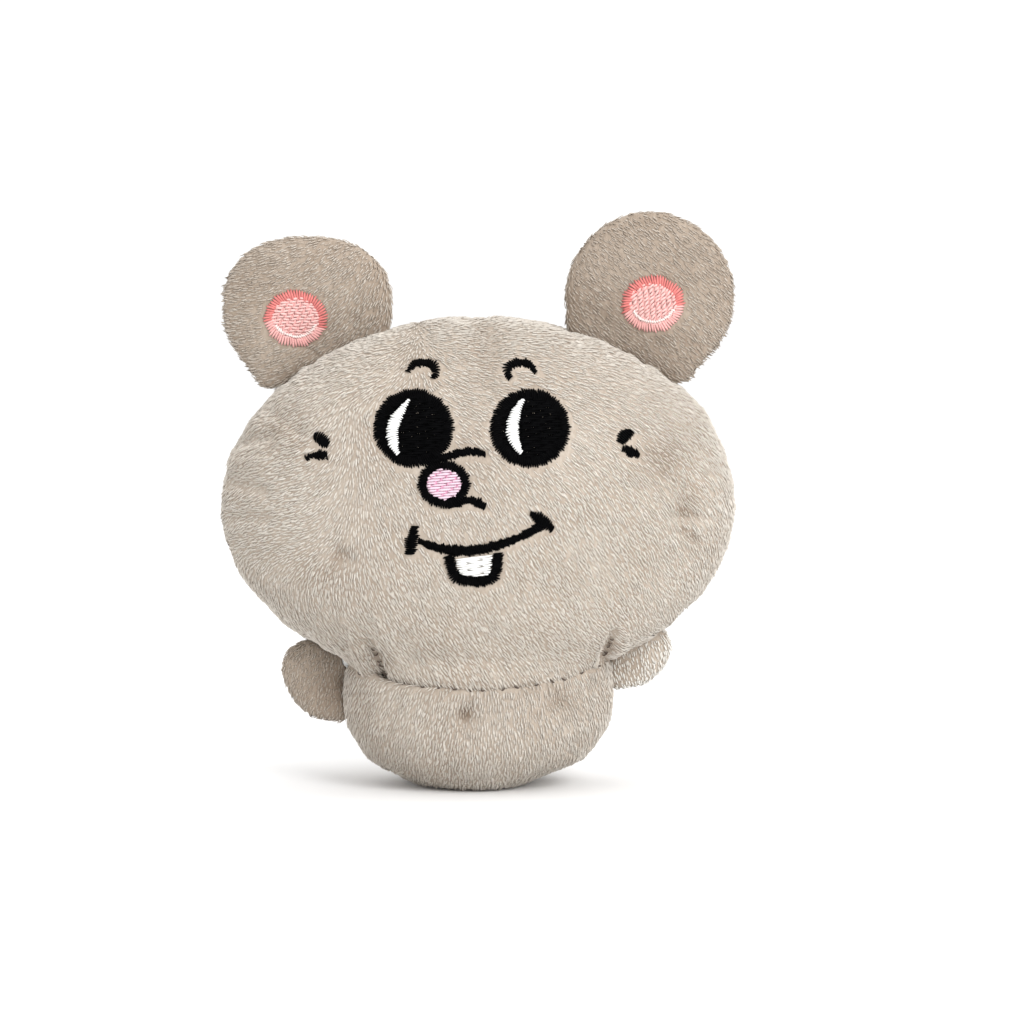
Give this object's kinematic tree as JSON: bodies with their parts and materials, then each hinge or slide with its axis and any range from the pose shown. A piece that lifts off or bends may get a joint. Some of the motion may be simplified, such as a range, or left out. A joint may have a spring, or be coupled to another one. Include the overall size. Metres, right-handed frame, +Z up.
{
  "type": "stuffed toy mouse",
  "caption": "Small sewn and stuffed toy mouse in short-pile plush, with an embroidered face, a soft nodding head, folding ears and stub arms, standing on a flat base panel.",
  "frame": {"origin": "middle of the flat base panel, on the surface that the toy stands on", "axes": "+Z up; the face looks along -Y; +X is the toy's own left, on the viewer's right"},
  "size_m": [0.0898, 0.0552, 0.1006],
  "materials": {
    "plush": "short-pile grey-beige plush, brushed, matt with a soft sheen",
    "fibre_fill": "loose white polyester fibre",
    "backing_cloth": "thin white non-woven stabiliser",
    "black_thread": "black satin stitch, slight gloss",
    "white_thread": "white satin stitch, slight gloss",
    "pink_thread": "pale pink filling stitch, slight gloss",
    "rose_thread": "pale rose filling stitch over plush, slight gloss",
    "coral_thread": "coral satin stitch, slight gloss",
    "seam_thread": "dull brown-grey sewing thread"
  },
  "bodies": {
    "body": {"body_front_panel": "plush", "body_back_panel": "plush", "base_panel": "plush", "body_stuffing": "fibre_fill", "neck_stitches": "seam_thread"},
    "head": {"head_front_panel": "plush", "head_back_left_panel": "plush", "head_back_right_panel": "plush", "head_stuffing": "fibre_fill", "face_backing": "backing_cloth", "left_eye": "black_thread", "right_eye": "black_thread", "left_eye_highlight": "white_thread", "right_eye_highlight": "white_thread", "left_brow": "black_thread", "right_brow": "black_thread", "left_cheek_marks": "black_thread", "right_cheek_marks": "black_thread", "nose_fill": "pink_thread", "nose_outline": "black_thread", "mouth_line": "black_thread", "tooth_fill": "white_thread", "tooth_outline": "black_thread", "dart_stitches": "seam_thread", "closing_stitches": "seam_thread"},
    "left_ear": {"left_ear_front_panel": "plush", "left_ear_back_panel": "plush", "left_ear_wadding": "fibre_fill", "left_ear_patch": "rose_thread", "left_ear_ring": "coral_thread"},
    "right_ear": {"right_ear_front_panel": "plush", "right_ear_back_panel": "plush", "right_ear_wadding": "fibre_fill", "right_ear_patch": "rose_thread", "right_ear_ring": "coral_thread"},
    "left_arm": {"left_arm_front_panel": "plush", "left_arm_back_panel": "plush", "left_arm_stuffing": "fibre_fill"},
    "right_arm": {"right_arm_front_panel": "plush", "right_arm_back_panel": "plush", "right_arm_stuffing": "fibre_fill"}
  },
  "joints": [
    {"name": "neck_nod", "type": "hinge", "parent": "body", "child": "head", "pos_m": [0, 0, 0.038], "axis": [1, 0, 0], "range_deg": [-10, 10], "stiffness_Nm_per_rad": 0.05},
    {"name": "left_ear_fold", "type": "hinge", "parent": "head", "child": "left_ear", "pos_m": [0.02595, 0.0008, 0.07702], "axis": [0.8909, 0, -0.4543], "range_deg": [-40, 40], "stiffness_Nm_per_rad": 0.003},
    {"name": "right_ear_fold", "type": "hinge", "parent": "head", "child": "right_ear", "pos_m": [-0.02575, 0.0008, 0.07713], "axis": [0.893, 0, 0.4501], "range_deg": [-40, 40], "stiffness_Nm_per_rad": 0.003},
    {"name": "left_arm_swing", "type": "hinge", "parent": "body", "child": "left_arm", "pos_m": [0.0249, 0, 0.017], "axis": [0, 0, -1], "range_deg": [-25, 25], "stiffness_Nm_per_rad": 0.002},
    {"name": "right_arm_swing", "type": "hinge", "parent": "body", "child": "right_arm", "pos_m": [-0.0249, 0, 0.0158], "axis": [0, 0, 1], "range_deg": [-25, 25], "stiffness_Nm_per_rad": 0.002}
  ]
}
